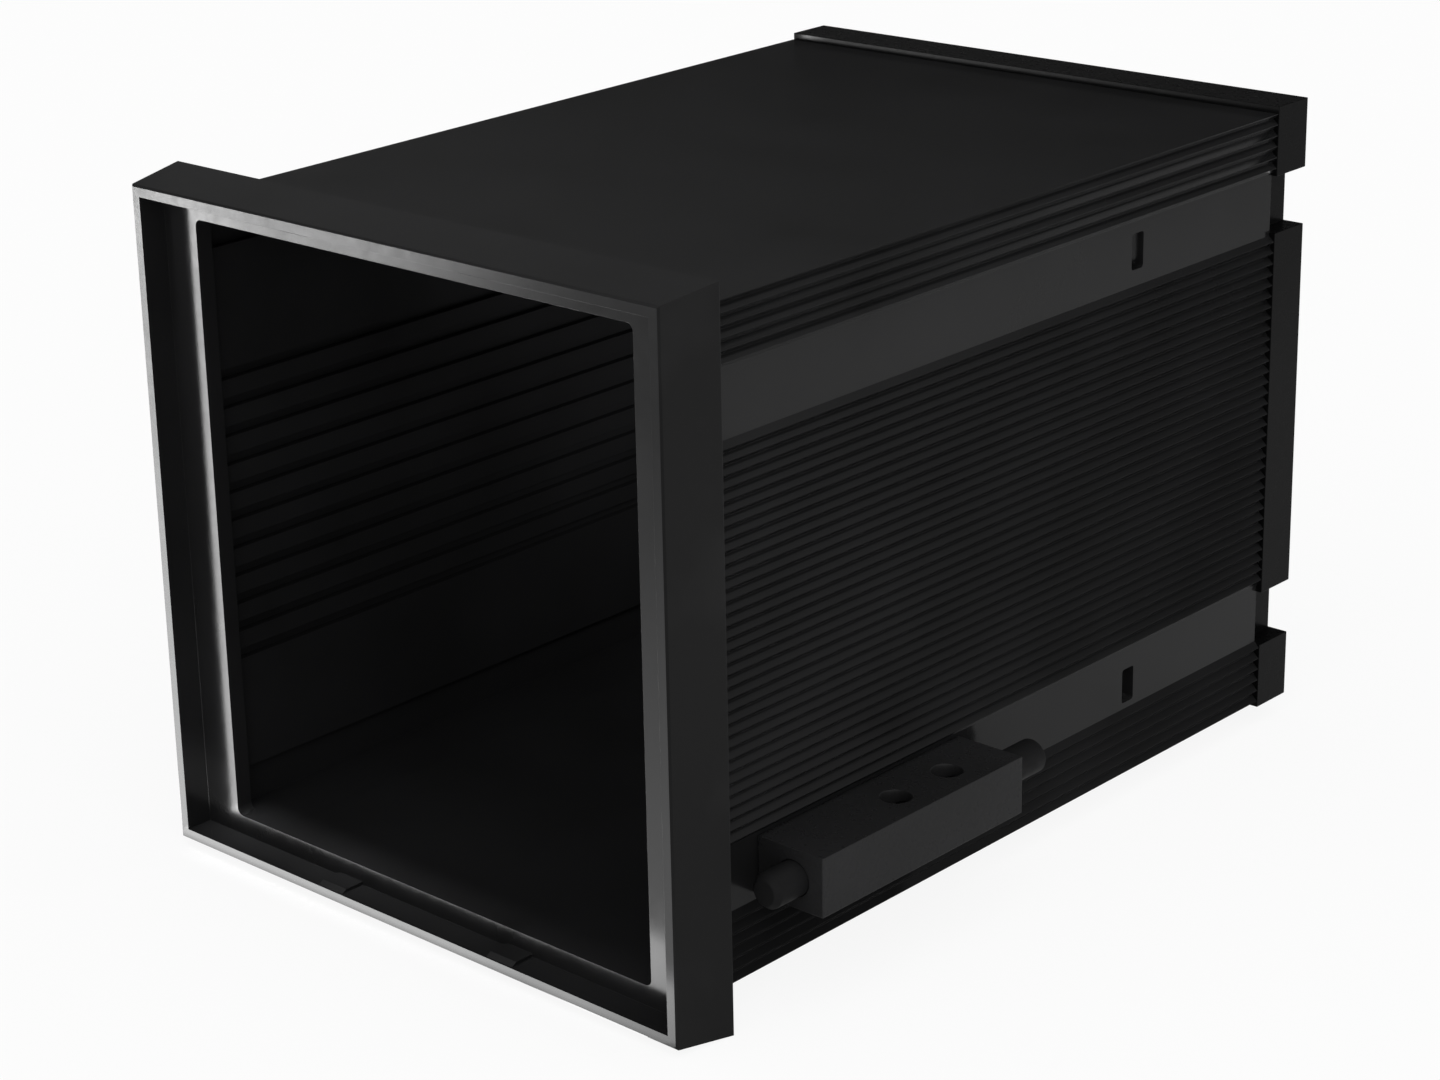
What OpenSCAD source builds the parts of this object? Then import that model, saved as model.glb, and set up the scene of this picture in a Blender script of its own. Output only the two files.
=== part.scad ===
// Panel mount enclosure: a square moulded housing that is pushed through a panel cut-out and
// pulled back against it by screw clamps that hook into slots in its ribbed sides.
// Millimetres. The origin is the centre of the panel's front plane, +X is to the right,
// +Y runs back into the cabinet and +Z is up.

/* [Body] */
// Width of the body over the rib crests
body_width = 88; // [70:0.5:140]
// Height of the body
body_height = 88; // [76:0.5:140]
// Depth of the body from the panel to the rear cover
body_depth = 120.4; // [90:0.2:200]
// Thickness of the top and bottom walls
top_wall = 1.5; // [1.2:0.1:3]
// Thickness of the side walls under the ribs
side_wall = 3; // [2.4:0.1:4]

/* [Ribs] */
// Distance from crest to crest of the side ribs
rib_pitch = 1.6; // [1.2:0.1:4]
// Height of the ribs
rib_height = 0.8; // [0.3:0.05:1.2]

/* [Bezel] */
// How far the bezel laps over the panel on every side
flange = 4; // [3:0.25:10]
// Depth of the bezel in front of the panel
bezel_depth = 9; // [8:0.25:16]
// How far each side of the bezel draws in towards the front
bezel_draft = 1.15; // [0.2:0.05:1.5]
// Bevel along the outer front edge of the bezel
bezel_bevel = 0.25; // [0.1:0.05:0.6]
// Thickness of the rim at its front edge
rim_wall = 1.55; // [1.1:0.05:2]
// Depth of the recess that takes a front plate
recess_depth = 4; // [2:0.25:5]
// Thickness of the ledge behind the recess
ledge_thickness = 2.5; // [1.5:0.25:3]
// How far the ledge stands in from the side walls
ledge_lip = 1.2; // [0.4:0.1:3]
// Radius in the corners of the front opening
opening_radius = 1; // [0.3:0.1:3]

/* [Front plate lugs] */
// Distance between the two lugs on the top and on the bottom of the rim
lug_spacing = 32; // [16:0.5:60]
// Width of a lug
lug_width = 4.6; // [2:0.1:8]
// Height of a lug
lug_height = 0.45; // [0.2:0.05:0.8]
// Length of the ramp at the front of a lug
lug_ramp = 0.8; // [0.3:0.1:1.5]

/* [Clamp strips and slots] */
// Height of the plain strips between the ribs that take the clamps
strip_height = 9; // [7:0.1:12]
// Distance from the top of the body to the middle of the upper strips
upper_strip_inset = 13; // [11:0.1:20]
// Distance from the bottom of the body to the middle of the lower strips
lower_strip_inset = 13.8; // [11:0.1:20]
// Length along the strip of a slot through the wall
slot_length = 2.6; // [2.2:0.1:6]
// Height of a slot
slot_height = 5; // [3.5:0.1:6.5]
// Radius in the corners of the slots
slot_radius = 0.4; // [0.1:0.05:0.6]
// Distance from the rear of the body to the middle of the rear slots
rear_slot_inset = 31.8; // [15:0.1:45]
// Distance from the top and bottom of the body to the middle of the rear slots
rear_slot_edge = 12.7; // [11:0.1:18]
// Distance from the panel to the middle of the slots under the clamps
hook_slot_inset = 30.3; // [20:0.1:40]

/* [Card guides] */
// Distance between the grooves inside the side walls
guide_pitch = 4; // [3:0.25:8]
// Width of a guide groove
guide_groove = 1.5; // [1:0.1:2.2]
// Depth of the guide grooves and of the relief beside the roof and floor
guide_depth = 1.2; // [0.6:0.1:1.3]
// Plain wall between a strip and the guide groove or relief nearest to it
guide_margin = 2.1; // [1:0.1:4]

/* [Rear cover] */
// Depth of the rear cover
cover_depth = 7.2; // [5:0.1:12]
// How far the cover stands proud of the roof and the floor
cover_proud = 1; // [0.2:0.1:2]
// Thickness of the cover's rear plate
cover_plate = 2; // [1.2:0.1:3]
// Width of the cover's rim inside its outer faces
cover_rim = 3.5; // [3:0.1:6]
// Length of the tongue of the body that the cover fits over
tongue_length = 1.6; // [1:0.1:2.4]
// How far the tongue steps in from the outside of the body
tongue_step = 0.7; // [0.4:0.05:0.9]
// Height of the notches in line with the strips
notch_height = 8.2; // [6:0.1:11]
// Depth of the notches from the cover's sides
notch_depth = 3.2; // [2.4:0.1:4]
// How far the lower notches sit below the lower strips
notch_drop = 0.9; // [0:0.1:2]
// Thickness of the cover behind a notch
notch_web = 1.8; // [1.2:0.1:3]
// Gap between the cover and the body
cover_gap = 0.1; // [0.05:0.05:0.3]

/* [Clamps] */
// Length of a clamp block
clamp_length = 40; // [25:0.5:60]
// Height of a clamp block
clamp_height = 8; // [6.5:0.1:11]
// How far a clamp block reaches out from the rib crests
clamp_reach = 9.7; // [8.5:0.1:16]
// Distance from the panel to the front of a clamp block
clamp_setback = 10.3; // [6:0.1:30]
// Length along the strip of the hook's neck
hook_neck = 1.5; // [1:0.1:1.6]
// How far the hook's nose reaches behind the wall
hook_nose = 0.8; // [0.4:0.1:1]
// Thickness of the hook's nose
hook_plate = 1; // [0.6:0.1:1.2]
// Gap between a clamp and the wall that it hooks into
hook_gap = 0.1; // [0.05:0.05:0.2]
// Diameter of the two holes across a block
cross_hole = 4.2; // [2:0.1:5]
// Distance from the front of the block to the first hole
cross_hole_inset = 19.9; // [8:0.1:22]
// Distance between the two holes
cross_hole_pitch = 10.4; // [6:0.1:14]

/* [Clamp screws] */
// Diameter of a clamp screw
screw_diameter = 4.7; // [4:0.1:6]
// Length of a clamp screw
screw_length = 54.5; // [45:0.5:80]
// Distance from the panel to the tip of a clamp screw
screw_setback = 4.8; // [1:0.1:10]
// Distance from the rib crests to the axis of a screw
screw_offset = 5; // [4:0.1:8]
// Chamfer on both ends of a screw
screw_chamfer = 0.7; // [0.2:0.1:0.8]
// Size across the flats of the hex socket in the rear end of a screw
socket_flats = 2; // [1.5:0.1:2]
// Depth of the hex socket
socket_depth = 2; // [1:0.1:4]
// Radial gap between a screw and its block
screw_gap = 0.1; // [0.05:0.01:0.2]

/* [Hidden] */
$fn = 48;

// Overlap that lets unions join and cuts pass right through
lap = 1;

// Half sizes of the body: rib crests, walls under the ribs, roof
half_w = body_width / 2;
wall_half = half_w - rib_height;
half_h = body_height / 2;

// Heights of the middles of the strips
upper_z = half_h - upper_strip_inset;
lower_z = lower_strip_inset - half_h;
strip_half = strip_height / 2;

// Inside of the body
cavity_half_w = wall_half - side_wall;
cavity_half_h = half_h - top_wall;
relief_half_w = cavity_half_w + guide_depth;
relief_clear = strip_half + guide_margin;
tongue_end = body_depth + tongue_length;

// Front of the bezel, its recess and its ledge
bezel_front = -bezel_depth;
ledge_front = bezel_front + recess_depth;
ledge_back = ledge_front + ledge_thickness;
bezel_w = body_width + 2 * flange;
bezel_h = body_height + 2 * flange;
recess_w = bezel_w - 2 * (bezel_draft + rim_wall);
recess_h = bezel_h - 2 * (bezel_draft + rim_wall);

// Rear cover
cover_front = body_depth + cover_gap;
cover_back = cover_front + cover_depth;
pocket_end = tongue_end + cover_gap;
cover_h = body_height + 2 * cover_proud;
tray_half_w = half_w - notch_depth - notch_web;

// Hook of a clamp: its rear face bears on the rear edge of its slot
hook_back = hook_slot_inset + slot_length / 2 - hook_gap;
hook_inner = cavity_half_w - hook_gap - hook_plate;
hook_height = slot_height - 2 * slot_radius;
clamp_inner = wall_half + hook_gap;

// Draws a flat outline standing in the XZ plane, from y0 back to y1.
module along_y(y0, y1) {
    translate([0, y1, 0])
        rotate([90, 0, 0])
            linear_extrude(y1 - y0)
                children();
}

// A round bar or bore along Y.
module bar_y(x, z, radius, y0, y1) {
    translate([x, y1, z])
        rotate([90, 0, 0])
            cylinder(r = radius, h = y1 - y0);
}

// The shape on the right and its mirror image on the left.
module both_sides() {
    children();
    mirror([1, 0, 0])
        children();
}

module centred(width, height) {
    square([width, height], center = true);
}

// A rectangle with round corners.
module rounded(width, height, radius) {
    centred(width, height - 2 * radius);
    centred(width - 2 * radius, height);
    for (x = [-1, 1], z = [-1, 1])
        translate([x * (width / 2 - radius), z * (height / 2 - radius)])
            circle(radius);
}

// Outline of the raised ribs on the right side, from low to high. The band starts and ends on the
// wall, or on a crest where it meets the floor or the roof.
module rib_band(low, high, crest_low, crest_high) {
    halves = crest_low || crest_high ? 1 : 0;
    count = max(1, round((high - low) / rib_pitch - halves / 2));
    step = (high - low) / (2 * count + halves);
    polygon(concat(
        [[wall_half - lap, low]],
        [for (i = [0 : 2 * count + halves])
            let (on_crest = (i % 2 == 0) == crest_low)
            [on_crest ? half_w : wall_half, low + i * step]],
        [[wall_half - lap, high]]
    ));
}

module ribbed_outline() {
    both_sides() {
        rib_band(upper_z + strip_half, half_h, false, true);
        rib_band(lower_z + strip_half, upper_z - strip_half, false, false);
        rib_band(-half_h, lower_z - strip_half, true, false);
    }
}

// Section of the hollow body: side walls with guide grooves, relieved beside the roof and floor.
module cavity_outline() {
    roof_relief = upper_z + relief_clear;
    floor_relief = lower_z - relief_clear;
    centred(2 * cavity_half_w, 2 * cavity_half_h);
    translate([-relief_half_w, roof_relief])
        square([2 * relief_half_w, cavity_half_h - roof_relief]);
    translate([-relief_half_w, -cavity_half_h])
        square([2 * relief_half_w, cavity_half_h + floor_relief]);
    guide_low = ceil((lower_z + relief_clear + guide_groove) / guide_pitch);
    guide_high = floor((upper_z - relief_clear - guide_groove) / guide_pitch);
    for (i = [guide_low : guide_high])
        translate([0, i * guide_pitch])
            centred(2 * relief_half_w, guide_groove);
}

// The bezel's outside: drawn in towards the front, with a bevelled front edge.
module bezel_block() {
    bevel_back = bezel_front + bezel_bevel;
    front_w = bezel_w - 2 * bezel_draft;
    front_h = bezel_h - 2 * bezel_draft;
    bevel_scale = [1 - 2 * bezel_bevel / front_w, 1 - 2 * bezel_bevel / front_h];
    rotate([90, 0, 0])
        linear_extrude(-bevel_back, scale = [front_w / bezel_w, front_h / bezel_h])
            centred(bezel_w, bezel_h);
    translate([0, bevel_back, 0])
        rotate([90, 0, 0])
            linear_extrude(bezel_bevel, scale = bevel_scale)
                centred(front_w, front_h);
}

// A low lug on the rim's lower inner face, ramped at the front and ending at the ledge.
module lug() {
    root = -recess_h / 2;
    top = root + lug_height;
    translate([-lug_width / 2, 0, 0])
        rotate([90, 0, 90])
            linear_extrude(lug_width)
                polygon([
                    [bezel_front + bezel_bevel, root - rim_wall / 2],
                    [bezel_front + bezel_bevel, root],
                    [bezel_front + bezel_bevel + lug_ramp, top],
                    [ledge_front + lap, top],
                    [ledge_front + lap, root - rim_wall / 2]
                ]);
}

module front_plate_lugs() {
    for (x = [-1, 1], turn = [0, 180])
        rotate([0, turn, 0])
            translate([x * lug_spacing / 2, 0, 0])
                lug();
}

// A slot through the right side wall.
module wall_slot(y, z) {
    translate([cavity_half_w - lap, y, z])
        rotate([90, 0, 90])
            linear_extrude(side_wall + 2 * lap)
                rounded(slot_length, slot_height, slot_radius);
}

// One slot near the rear of every strip, and one under each clamp.
module strip_slots() {
    both_sides()
        for (side = [-1, 1])
            wall_slot(body_depth - rear_slot_inset, side * (half_h - rear_slot_edge));
    on_right()
        wall_slot(hook_slot_inset, 0);
    on_left()
        wall_slot(hook_slot_inset, 0);
}

// Outline of the tongue at the rear of the body, which stops short of the cover's notches.
module tongue_outline(margin) {
    difference() {
        centred(2 * (wall_half - tongue_step + margin), body_height - 2 * (tongue_step - margin));
        both_sides()
            notch_outlines(tray_half_w - cover_gap + margin, notch_height / 2 + notch_web - margin);
    }
}

// The two notches on the right side of the cover, from inner_x outwards.
module notch_outlines(inner_x, half_height) {
    for (z = [upper_z, lower_z - notch_drop])
        translate([inner_x, z - half_height])
            square([half_w + lap - inner_x, 2 * half_height]);
}

module housing() {
    color([0.13, 0.13, 0.14]) {
        difference() {
            union() {
                bezel_block();
                along_y(-lap, body_depth)
                    centred(2 * wall_half, body_height);
                along_y(-lap, body_depth)
                    ribbed_outline();
                along_y(body_depth - lap, tongue_end)
                    tongue_outline(0);
            }
            along_y(bezel_front - lap, ledge_front)
                centred(recess_w, recess_h);
            along_y(ledge_front - lap, ledge_back + lap)
                rounded(2 * (cavity_half_w - ledge_lip), 2 * cavity_half_h, opening_radius);
            along_y(ledge_back, tongue_end + lap)
                cavity_outline();
            strip_slots();
        }
        front_plate_lugs();
    }
}

module rear_cover() {
    color([0.16, 0.16, 0.17])
        difference() {
            along_y(cover_front, cover_back)
                centred(body_width, cover_h);
            along_y(cover_front - lap, pocket_end)
                tongue_outline(cover_gap);
            along_y(cover_front - lap, cover_back - cover_plate)
                centred(2 * tray_half_w, body_height - 2 * cover_rim);
            along_y(cover_front - lap, cover_back + lap)
                both_sides()
                    notch_outlines(half_w - notch_depth, notch_height / 2);
        }
}

// A clamp block as it sits on the right side, with the middle of its strip at z = 0.
module clamp_block() {
    back = clamp_setback + clamp_length;
    axis_x = half_w + screw_offset;
    difference() {
        translate([clamp_inner, clamp_setback, -clamp_height / 2])
            cube([half_w + clamp_reach - clamp_inner, clamp_length, clamp_height]);
        bar_y(axis_x, 0, screw_diameter / 2 + screw_gap, clamp_setback - lap, back + lap);
        for (i = [0, 1])
            translate([axis_x, clamp_setback + cross_hole_inset + i * cross_hole_pitch, 0])
                cylinder(d = cross_hole, h = clamp_height / 2 + lap);
    }
    clamp_hook();
}

// Neck through the slot, with a nose behind the wall.
module clamp_hook() {
    translate([hook_inner, hook_back - hook_neck, -hook_height / 2])
        cube([clamp_inner + lap - hook_inner, hook_neck, hook_height]);
    translate([hook_inner, hook_back - hook_neck, -hook_height / 2])
        cube([hook_plate, hook_neck + hook_gap + hook_nose, hook_height]);
}

// A clamp screw as it sits in the block on the right side.
module clamp_screw() {
    radius = screw_diameter / 2;
    translate([half_w + screw_offset, screw_setback, 0])
        rotate([-90, 0, 0])
            difference() {
                rotate_extrude()
                    polygon([
                        [0, 0],
                        [radius - screw_chamfer, 0],
                        [radius, screw_chamfer],
                        [radius, screw_length - screw_chamfer],
                        [radius - screw_chamfer, screw_length],
                        [0, screw_length]
                    ]);
                translate([0, 0, screw_length - socket_depth])
                    cylinder(d = socket_flats / cos(30), h = socket_depth + lap, $fn = 6);
            }
}

// Puts a clamp piece on the right side, on the lower strip.
module on_right() {
    translate([0, 0, lower_z])
        children();
}

// Puts the same piece on the left side, turned half round about Y, on the upper strip.
module on_left() {
    translate([0, 0, upper_z])
        rotate([0, 180, 0])
            children();
}

module right_clamp() {
    color([0.18, 0.18, 0.19])
        on_right()
            clamp_block();
}

module right_screw() {
    color([0.22, 0.22, 0.23])
        on_right()
            clamp_screw();
}

module left_clamp() {
    color([0.18, 0.18, 0.19])
        on_left()
            clamp_block();
}

module left_screw() {
    color([0.22, 0.22, 0.23])
        on_left()
            clamp_screw();
}

housing();
rear_cover();
right_clamp();
right_screw();
left_clamp();
left_screw();
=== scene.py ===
"""Looks of the panel mount enclosure: black moulded plastic, a white studio, the photo's camera."""

import math

import bpy
from mathutils import Matrix, Vector


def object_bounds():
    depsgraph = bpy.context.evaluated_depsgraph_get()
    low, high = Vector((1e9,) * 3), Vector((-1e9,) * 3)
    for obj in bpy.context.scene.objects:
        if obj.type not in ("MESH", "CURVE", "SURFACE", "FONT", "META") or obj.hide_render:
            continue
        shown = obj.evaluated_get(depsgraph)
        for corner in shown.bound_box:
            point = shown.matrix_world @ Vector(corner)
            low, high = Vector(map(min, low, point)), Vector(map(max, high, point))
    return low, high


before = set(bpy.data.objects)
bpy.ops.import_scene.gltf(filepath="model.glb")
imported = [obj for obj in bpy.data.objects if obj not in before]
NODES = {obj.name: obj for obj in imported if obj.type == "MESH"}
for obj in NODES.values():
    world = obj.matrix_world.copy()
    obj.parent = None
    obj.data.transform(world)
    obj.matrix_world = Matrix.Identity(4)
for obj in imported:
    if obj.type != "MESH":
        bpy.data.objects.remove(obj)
CAD_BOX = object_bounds()
SCENE = bpy.context.scene
MM = 0.001
FLOOR_Z = CAD_BOX[0].z
X_AXIS = Vector((1, 0, 0))
Y_AXIS = Vector((0, 1, 0))
Z_AXIS = Vector((0, 0, 1))

# Camera, in the row frame: place in millimetres, heading in degrees, lens in photo pixels
PHOTO_WIDTH = 1440
PHOTO_HEIGHT = 1080
CAMERA_PLACE = Vector((292.1, -270.9, 151.4))
CAMERA_AZIMUTH = 45.45
CAMERA_ELEVATION = 19.245
CAMERA_ROLL = -2.24
FOCAL_PIXELS = 3339.0
OPTICAL_CENTRE = (534.5, 486.0)
SENSOR = 36.0
NEAR_CLIP = 0.01

# Edges: radius and welding gap in millimetres, angles in degrees
EDGE_RADIUS = {
    "housing": 0.03,
    "rear_cover": 0.08,
    "right_clamp": 0.1,
    "left_clamp": 0.1,
    "right_screw": 0.1,
    "left_screw": 0.1,
}
EDGE_ANGLE = 30.0
EDGE_SEGMENTS = 2
FLAT_ANGLE = 0.5
WELD_GAP = 0.002

# Moulded surface: sizes of its flow marks and gloss patches and depth of its grain in millimetres
FLOW_SIZE = 22.0
PATCH_SIZE = 1.4
PATCH_NOISE = (0.3, 0.7)
PATCH_ROUGHNESS = (0.9, 1.15)
GRAIN_DEPTH = 0.01
GRAIN_STRENGTH = 0.2

# Bezel's left and right outer sides: where they lie, in millimetres, how much rougher they are than
# the rest of the housing, and how much painted shade darkens their colour
FLANK_BACK = -0.1
FLANK_SIDE = 25.0
FLANK_PAINTED_SHADE = -0.3
FLANK_ROUGHNESS = 0.3

# Floor: size in metres, grey of its paper, and the share of it that shows as plain white
FLOOR_SIZE = 12.0
FLOOR_GREY = 0.95
FLOOR_GLOW = 0.9

# Painted pool of light on the floor, right of the object, which only gloss sees: outside it the
# floor is painted dimmer, so the right side mirrors a dimmer floor, a painted darker reflection.
# Middle, radii and the side's soft edge in millimetres
PAINTED_POOL_MIDDLE = Vector((260, 150, FLOOR_Z / MM))
PAINTED_POOL_RADII = (60, 260)
PAINTED_POOL_SIDE = (0, 40)
PAINTED_POOL_DIM = 0.5

# Studio sky: soft key from the front right and a white band round the horizon, which a flag at
# the back left keeps lower. Heights are sines of the elevation
KEY_HEADING = Vector((0.3, -0.35, 0.83)).normalized()
KEY_EDGE = 0.25
KEY_RADIANCE = 1.55
AMBIENT = 0.02
HORIZON_GLOW = 0.96
HORIZON_BAND = (0.155, 0.19)
FLAG_HEADING = Vector((-0.66, 0.75, 0))
FLAG_EDGE = (0.88, 0.95)
FLAG_DROP = 0.12

# Brightness along or across a card, as steps of place and level
EVEN = ((0.0, 1.0), (1.0, 1.0))
SOFT_SIDES = ((0.0, 0.0), (0.15, 1.0), (0.85, 1.0), (1.0, 0.0))

# Low strip lights, where each side of the bezel's front mirrors the photo's camera: corners of that
# mirror image on the floor, in millimetres
STRIP_Z = FLOOR_Z / MM + 0.4
MIRROR_LOW_LEFT = Vector((-50, -12, STRIP_Z))
MIRROR_LOW_RIGHT = Vector((45, -12, STRIP_Z))
MIRROR_HIGH_LEFT = Vector((-348, -243, STRIP_Z))
MIRROR_HIGH_RIGHT = Vector((-174, -243, STRIP_Z))
HIGH_STRIP_LONGER = Vector((30, 0, 0))
STRIP_RADIANCE = 22.5

# The same for the end of the upper slot, and on the roof for the step up to the rear cover
SLOT_MIRROR = Vector((-105, -138, STRIP_Z))
STEP_LEFT = Vector((-44, 118, 44.1))
STEP_RIGHT = Vector((44, 118, 44.1))

# Card behind the object that the roof mirrors, in millimetres
BACK_CARD_X = -50.0
BACK_CARD_Y = 250.0
BACK_CARD_WIDTH = 900.0
BACK_CARD_HEIGHTS = (86.0, 330.0)
BACK_CARD_RADIANCE = 0.14
BACK_CARD_ACROSS = ((0.0, 0.0), (0.1, 1.0), (0.9, 1.0), (1.0, 0.0))
BACK_CARD_UPWARD = ((0.0, 0.0), (0.48, 1.0), (0.85, 1.0), (1.0, 0.0))

# Narrow lamp under the top of the bezel, for its lower recess: millimetres and degrees
RECESS_LAMP_MIDDLE = Vector((-1, -4.2, 43.5))
RECESS_LAMP_SIZE = (86, 3)
RECESS_LAMP_RADIANCE = 17.0
RECESS_LAMP_SPREAD = 9.0
RECESS_LAMP_ACROSS = ((0.0, 1.0), (0.5, 0.4), (1.0, 0.06))

# Lamp inside the tube: millimetres and watts
INSIDE_LAMP_PLACE = Vector((2, 84, 8))
INSIDE_LAMP_RADIUS = 12.0
INSIDE_LAMP_POWER = 0.045


def make_camera():
    azimuth = math.radians(CAMERA_AZIMUTH)
    elevation = math.radians(CAMERA_ELEVATION)
    roll = math.radians(CAMERA_ROLL)
    back = Vector((
        math.sin(azimuth) * math.cos(elevation),
        -math.cos(azimuth) * math.cos(elevation),
        math.sin(elevation),
    ))
    level = Vector((math.cos(azimuth), math.sin(azimuth), 0))
    upright = back.cross(level)
    right = math.cos(roll) * level + math.sin(roll) * upright
    up = math.cos(roll) * upright - math.sin(roll) * level
    data = bpy.data.cameras.new("photo_camera")
    data.sensor_width = SENSOR
    data.lens = SENSOR * FOCAL_PIXELS / PHOTO_WIDTH
    data.shift_x = (PHOTO_WIDTH / 2 - OPTICAL_CENTRE[0]) / PHOTO_WIDTH
    data.shift_y = (OPTICAL_CENTRE[1] - PHOTO_HEIGHT / 2) / PHOTO_WIDTH
    data.clip_start = NEAR_CLIP
    camera = bpy.data.objects.new("photo_camera", data)
    turn = Matrix((right, up, back)).transposed().to_4x4()
    camera.matrix_world = Matrix.Translation(CAMERA_PLACE * MM) @ turn
    SCENE.collection.objects.link(camera)
    SCENE.camera = camera


class Nodes:
    """A node tree with short calls for adding and joining nodes."""

    def __init__(self, owner):
        owner.use_nodes = True
        self.tree = owner.node_tree

    def add(self, kind, inputs=None, **settings):
        node = self.tree.nodes.new("ShaderNode" + kind)
        for name, value in settings.items():
            setattr(node, name, value)
        for name, value in (inputs or {}).items():
            self.feed(node.inputs[name], value)
        return node

    def feed(self, socket, value):
        """Joins an output to the socket, or sets the socket's own value."""
        if isinstance(value, bpy.types.NodeSocket):
            self.tree.links.new(value, socket)
        else:
            socket.default_value = value

    def math(self, operation, *values):
        return self.add("Math", dict(enumerate(values)), operation=operation).outputs[0]

    def noise(self, place, size_mm, detail):
        inputs = {"Vector": place, "Scale": 1 / (size_mm * MM), "Detail": detail}
        return self.add("TexNoise", inputs).outputs["Fac"]

    def ramp(self, factor, stops):
        """A colour ramp of grey or RGB stops."""
        node = self.add("ValToRGB", {"Fac": factor})
        elements = node.color_ramp.elements
        while len(elements) < len(stops):
            elements.new(0.5)
        for element, (position, colour) in zip(elements, stops):
            element.position = position
            element.color = (*colour, 1) if isinstance(colour, tuple) else (colour, colour, colour, 1)
        return node.outputs["Color"]

    def span(self, value, source, target):
        """Maps the range source to the range target, and holds its ends beyond them."""
        node = self.add("MapRange", {
            "Value": value,
            "From Min": source[0], "From Max": source[1],
            "To Min": target[0], "To Max": target[1],
        })
        return node.outputs["Result"]

    def axis(self, vector, letter):
        return self.add("SeparateXYZ", {"Vector": vector}).outputs[letter]

    def towards(self, heading, aim):
        node = self.add("VectorMath", {0: heading, 1: aim}, operation="DOT_PRODUCT")
        return node.outputs["Value"]

    def distance(self, place, middle):
        node = self.add("VectorMath", {0: place, 1: middle}, operation="DISTANCE")
        return node.outputs["Value"]


def bezel_flanks(nodes, coordinates):
    """Is 1 on the bezel's left and right outer sides and 0 elsewhere."""
    place = coordinates.outputs["Object"]
    facing = coordinates.outputs["Normal"]
    ahead = nodes.math("LESS_THAN", nodes.axis(place, "Y"), FLANK_BACK * MM)
    outward = nodes.math("MULTIPLY", nodes.axis(place, "X"), nodes.axis(facing, "X"))
    return nodes.math("MULTIPLY", ahead, nodes.math("GREATER_THAN", outward, FLANK_SIDE * MM))


def shade(colour, share, blue_share):
    return (share * colour, share * colour, blue_share * colour)


def moulded_plastic(name, colour, roughness, specular, grain, rough_and_shaded_bezel=False):
    """Black moulding: faint flow marks in its colour, uneven gloss and a fine spark-eroded grain. On
    the bezel's outer sides, if asked, it is rougher and painted shade darkens its colour.
    """
    material = bpy.data.materials.new(name)
    nodes = Nodes(material)
    shader = nodes.tree.nodes["Principled BSDF"]
    coordinates = nodes.add("TexCoord")
    place = coordinates.outputs["Object"]
    tone = nodes.noise(place, FLOW_SIZE, detail=3)
    patches = nodes.noise(place, PATCH_SIZE, detail=2)
    gloss = nodes.span(patches, PATCH_NOISE, [share * roughness for share in PATCH_ROUGHNESS])
    fine = nodes.noise(place, grain, detail=1)
    # Bezel's outer sides: rougher, and darker in colour by painted shade
    if rough_and_shaded_bezel:
        flanks_mask = bezel_flanks(nodes, coordinates)
        tone = nodes.math("MULTIPLY_ADD", flanks_mask, FLANK_PAINTED_SHADE, tone)
        gloss = nodes.math("MULTIPLY_ADD", flanks_mask, FLANK_ROUGHNESS, gloss)
    darkest = shade(colour, 0.5, 0.51)
    dark = shade(colour, 0.88, 0.9)
    light = shade(colour, 1.1, 1.14)
    marks = nodes.ramp(tone, ((0.2, darkest), (0.35, dark), (0.65, light)))
    bump = nodes.add("Bump", {"Height": fine, "Strength": GRAIN_STRENGTH, "Distance": GRAIN_DEPTH * MM})
    nodes.feed(shader.inputs["Base Color"], marks)
    nodes.feed(shader.inputs["Roughness"], gloss)
    nodes.feed(shader.inputs["Specular IOR Level"], specular)
    nodes.feed(shader.inputs["Normal"], bump.outputs["Normal"])
    return material


def paint(material, *names):
    for name in names:
        for slot in NODES[name].material_slots:
            slot.material = material


def round_edges(name):
    """Rounds a node's sharp edges by modifiers, after its flat faces are joined up."""
    node = NODES[name]
    weld = node.modifiers.new("weld", "WELD")
    weld.merge_threshold = WELD_GAP * MM
    planes = node.modifiers.new("planes", "DECIMATE")
    planes.decimate_type = "DISSOLVE"
    planes.angle_limit = math.radians(FLAT_ANGLE)
    edges = node.modifiers.new("edges", "BEVEL")
    edges.limit_method = "ANGLE"
    edges.angle_limit = math.radians(EDGE_ANGLE)
    edges.width = EDGE_RADIUS[name] * MM
    edges.segments = EDGE_SEGMENTS
    edges.use_clamp_overlap = False
    edges.harden_normals = True


def outside_painted_pool(nodes):
    """Is 0 in the painted pool of light and on the left, and rises to the painted dimming share set
    above on the right away from it.
    """
    place = nodes.add("NewGeometry").outputs["Position"]
    near, far = (radius * MM for radius in PAINTED_POOL_RADII)
    left, right = (x * MM for x in PAINTED_POOL_SIDE)
    dim = nodes.span(nodes.distance(place, PAINTED_POOL_MIDDLE * MM), (near, far), (0.0, PAINTED_POOL_DIM))
    on_right = nodes.span(nodes.axis(place, "X"), (left, right), (0.0, 1.0))
    return nodes.math("MULTIPLY", dim, on_right)


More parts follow.
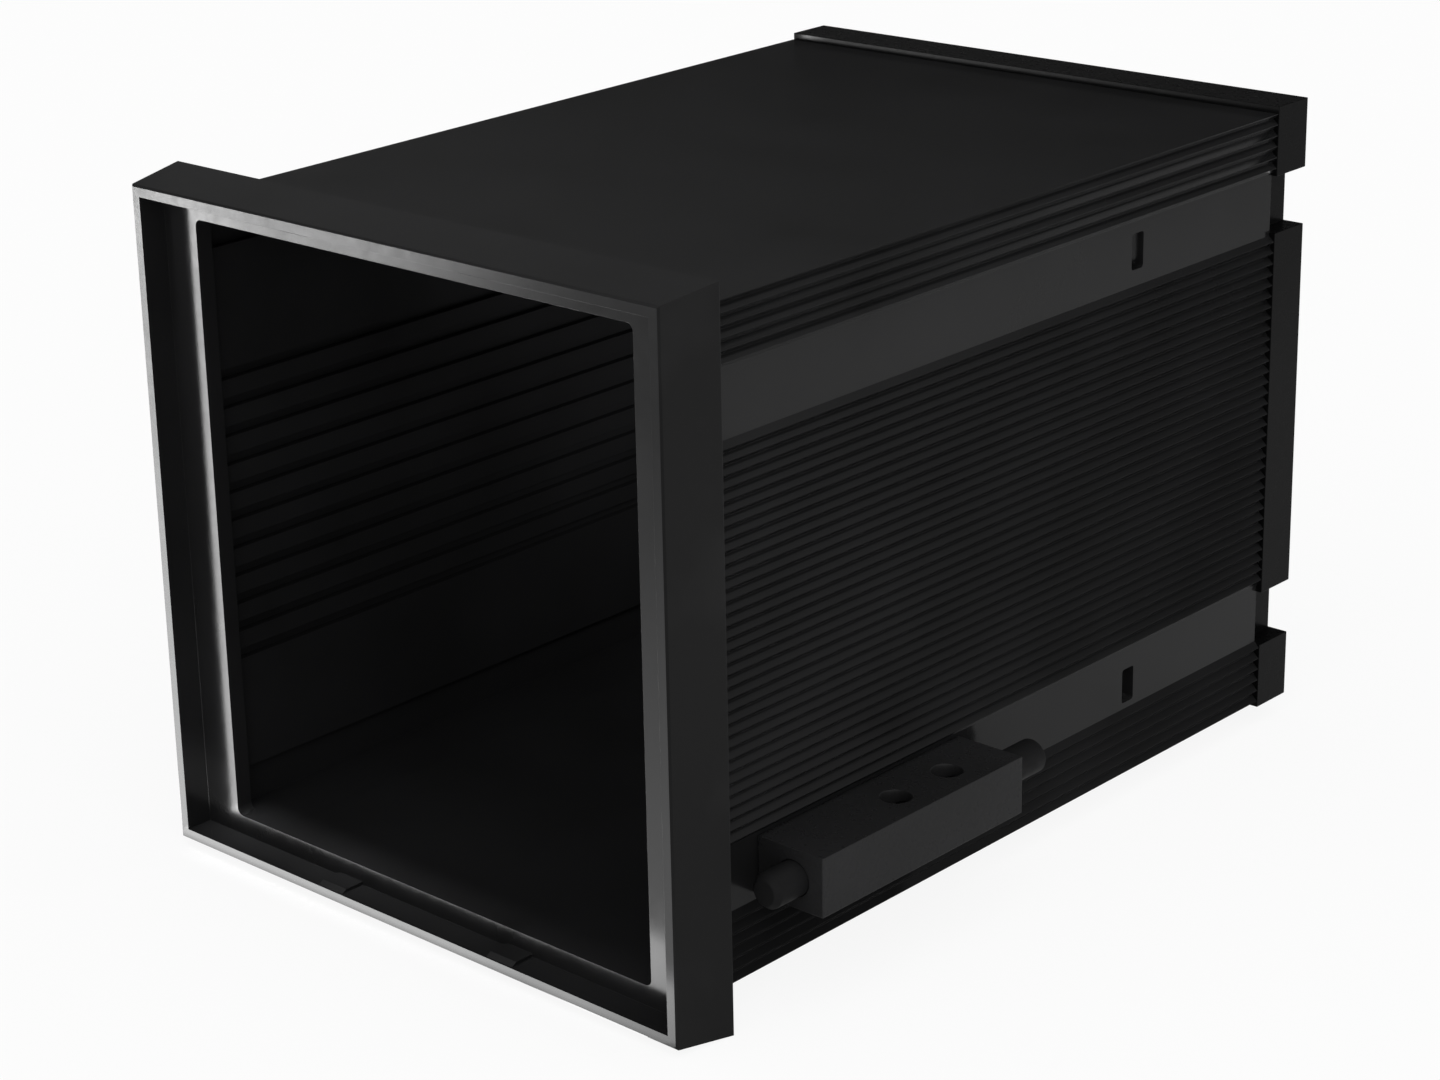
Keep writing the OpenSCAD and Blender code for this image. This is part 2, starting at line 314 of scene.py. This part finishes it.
def make_floor():
    """White paper that keeps a faint shadow, and that gloss sees as the camera does, except that gloss
    sees it painted dimmer right of the object, outside a painted pool of light.
    """
    bpy.ops.mesh.primitive_plane_add(size=FLOOR_SIZE, location=(0, 0, FLOOR_Z))
    floor = bpy.context.object
    floor.name = "floor"
    material = bpy.data.materials.new("floor_white")
    nodes = Nodes(material)
    nodes.tree.nodes.clear()
    seen = nodes.add("LightPath").outputs
    mirrored = seen["Is Glossy Ray"]
    shown = nodes.math("MAXIMUM", seen["Is Camera Ray"], mirrored)
    shown = nodes.math("MAXIMUM", shown, seen["Is Transmission Ray"])
    share = nodes.math("MULTIPLY", shown, FLOOR_GLOW)
    # Gloss sees the floor painted dimmer outside the painted pool: a painted darker reflection on the
    # right side
    painted_dimming = nodes.math("MULTIPLY", mirrored, outside_painted_pool(nodes))
    bright = nodes.math("SUBTRACT", 1.0, painted_dimming)
    paper = nodes.add("BsdfDiffuse", {"Color": (FLOOR_GREY, FLOOR_GREY, FLOOR_GREY, 1)})
    glow = nodes.add("Emission", {"Color": (1, 1, 1, 1), "Strength": bright})
    mixed = nodes.add("MixShader", {0: share, 1: paper.outputs[0], 2: glow.outputs[0]})
    nodes.add("OutputMaterial", {"Surface": mixed.outputs[0]})
    floor.data.materials.append(material)


def make_world():
    world = bpy.data.worlds.new("studio")
    SCENE.world = world
    nodes = Nodes(world)
    background = nodes.tree.nodes["Background"]
    heading = nodes.add("TexCoord").outputs["Generated"]
    lit = nodes.towards(heading, KEY_HEADING)
    key = nodes.span(lit, (KEY_EDGE, 1.0), (AMBIENT, KEY_RADIANCE))
    flagged = nodes.towards(heading, FLAG_HEADING)
    drop = nodes.span(flagged, FLAG_EDGE, (0.0, FLAG_DROP))
    height = nodes.math("ADD", nodes.axis(heading, "Z"), drop)
    band = nodes.span(height, HORIZON_BAND, (HORIZON_GLOW, 0.0))
    nodes.feed(background.inputs["Color"], (1, 1, 1, 1))
    nodes.feed(background.inputs["Strength"], nodes.math("ADD", key, band))


def make_card(name, middle, axes, size, radiance, fade):
    """A lamp that only gloss sees. Its axes run along its width and up its height, and fade gives
    its brightness along each of them."""
    along, up = axes
    data = bpy.data.lights.new(name, "AREA")
    data.shape = "RECTANGLE"
    data.size = size[0] * MM
    data.size_y = size[1] * MM
    data.energy = radiance * math.pi * data.size * data.size_y
    nodes = Nodes(data)
    place = nodes.add("NewGeometry").outputs["Parametric"]
    across = nodes.ramp(nodes.axis(place, "X"), fade[0])
    upward = nodes.ramp(nodes.axis(place, "Y"), fade[1])
    emission = nodes.tree.nodes["Emission"]
    nodes.feed(emission.inputs["Strength"], nodes.math("MULTIPLY", across, upward))
    card = bpy.data.objects.new(name, data)
    turn = Matrix((along, up, along.cross(up))).transposed().to_4x4()
    card.matrix_world = Matrix.Translation(middle * MM) @ turn
    card.visible_diffuse = False
    SCENE.collection.objects.link(card)
    return card


def make_strip(name, start, end, sides, radiance, levels):
    """A card that lies flat from start to end and shines up, with levels along it. Its two sides
    are measured from the line between its ends."""
    along = (end - start).normalized()
    across = Vector((along.y, -along.x, 0))
    middle = (start + end) / 2 + across * (sides[0] + sides[1]) / 2
    size = ((end - start).length, sides[1] - sides[0])
    make_card(name, middle, (along, across), size, radiance, (levels, SOFT_SIDES))


def make_strips():
    make_strip(
        "left_strip", MIRROR_LOW_LEFT, MIRROR_HIGH_LEFT,
        sides=(-22, 16), radiance=STRIP_RADIANCE,
        levels=((0.0, 0.6), (1.0, 1.0)),
    )
    make_strip(
        "high_strip", MIRROR_HIGH_LEFT - HIGH_STRIP_LONGER, MIRROR_HIGH_RIGHT,
        sides=(-30, 30), radiance=1.2 * STRIP_RADIANCE,
        levels=((0.56, 1.0), (0.66, 0.62), (0.73, 0.14), (0.88, 0.0)),
    )
    make_strip(
        "low_strip", MIRROR_LOW_LEFT, MIRROR_LOW_RIGHT,
        sides=(-3, 12), radiance=0.72 * STRIP_RADIANCE,
        levels=((0.6, 1.0), (1.0, 0.4)),
    )
    make_strip(
        "right_strip", MIRROR_LOW_RIGHT, MIRROR_HIGH_RIGHT,
        sides=(-20, 20), radiance=0.35 * STRIP_RADIANCE,
        levels=((0.0, 0.3), (0.08, 0.36), (0.4, 0.2), (0.7, 0.0)),
    )
    make_strip(
        "slot_strip", SLOT_MIRROR, MIRROR_HIGH_LEFT,
        sides=(-18, 18), radiance=0.12 * STRIP_RADIANCE,
        levels=((0.0, 1.0), (0.16, 0.0)),
    )
    make_strip(
        "step_strip", STEP_LEFT, STEP_RIGHT,
        sides=(-1.3, 1.3), radiance=3.3 * STRIP_RADIANCE,
        levels=((0.0, 1.0), (0.05, 0.2), (0.5, 0.12), (1.0, 0.03)),
    )


def make_back_card():
    low, high = BACK_CARD_HEIGHTS
    middle = Vector((BACK_CARD_X, BACK_CARD_Y, (low + high) / 2))
    size = (BACK_CARD_WIDTH, high - low)
    fade = (BACK_CARD_ACROSS, BACK_CARD_UPWARD)
    make_card("back_card", middle, (-X_AXIS, Z_AXIS), size, BACK_CARD_RADIANCE, fade)


def make_recess_lamp():
    """A narrow light straight down, brighter on the left, which gloss doesn't see."""
    lamp = make_card(
        "recess_lamp", RECESS_LAMP_MIDDLE, (X_AXIS, Y_AXIS), RECESS_LAMP_SIZE,
        RECESS_LAMP_RADIANCE, (RECESS_LAMP_ACROSS, EVEN),
    )
    lamp.data.spread = math.radians(RECESS_LAMP_SPREAD)
    lamp.visible_diffuse = True
    lamp.visible_glossy = False


def make_inside_lamp():
    data = bpy.data.lights.new("inside_lamp", "POINT")
    data.energy = INSIDE_LAMP_POWER
    data.shadow_soft_size = INSIDE_LAMP_RADIUS * MM
    lamp = bpy.data.objects.new("inside_lamp", data)
    lamp.location = INSIDE_LAMP_PLACE * MM
    lamp.visible_glossy = False
    SCENE.collection.objects.link(lamp)


# The housing's bezel sides are rougher, with painted shade darkening their colour
body = moulded_plastic(
    "housing_black", colour=0.0105, roughness=0.16, specular=0.145, grain=0.35, rough_and_shaded_bezel=True,
)
cover = moulded_plastic("cover_black", colour=0.0032, roughness=0.28, specular=0.055, grain=0.35)
clamp = moulded_plastic("clamp_black", colour=0.0165, roughness=0.28, specular=0.1, grain=0.3)
screw = moulded_plastic("screw_black", colour=0.01, roughness=0.5, specular=0.05, grain=0.2)
paint(body, "housing")
paint(cover, "rear_cover")
paint(clamp, "right_clamp", "left_clamp")
paint(screw, "right_screw", "left_screw")
for name in NODES:
    round_edges(name)

make_camera()
make_floor()
make_world()
make_strips()
make_back_card()
make_recess_lamp()
make_inside_lamp()
SCENE.view_settings.view_transform = "Standard"
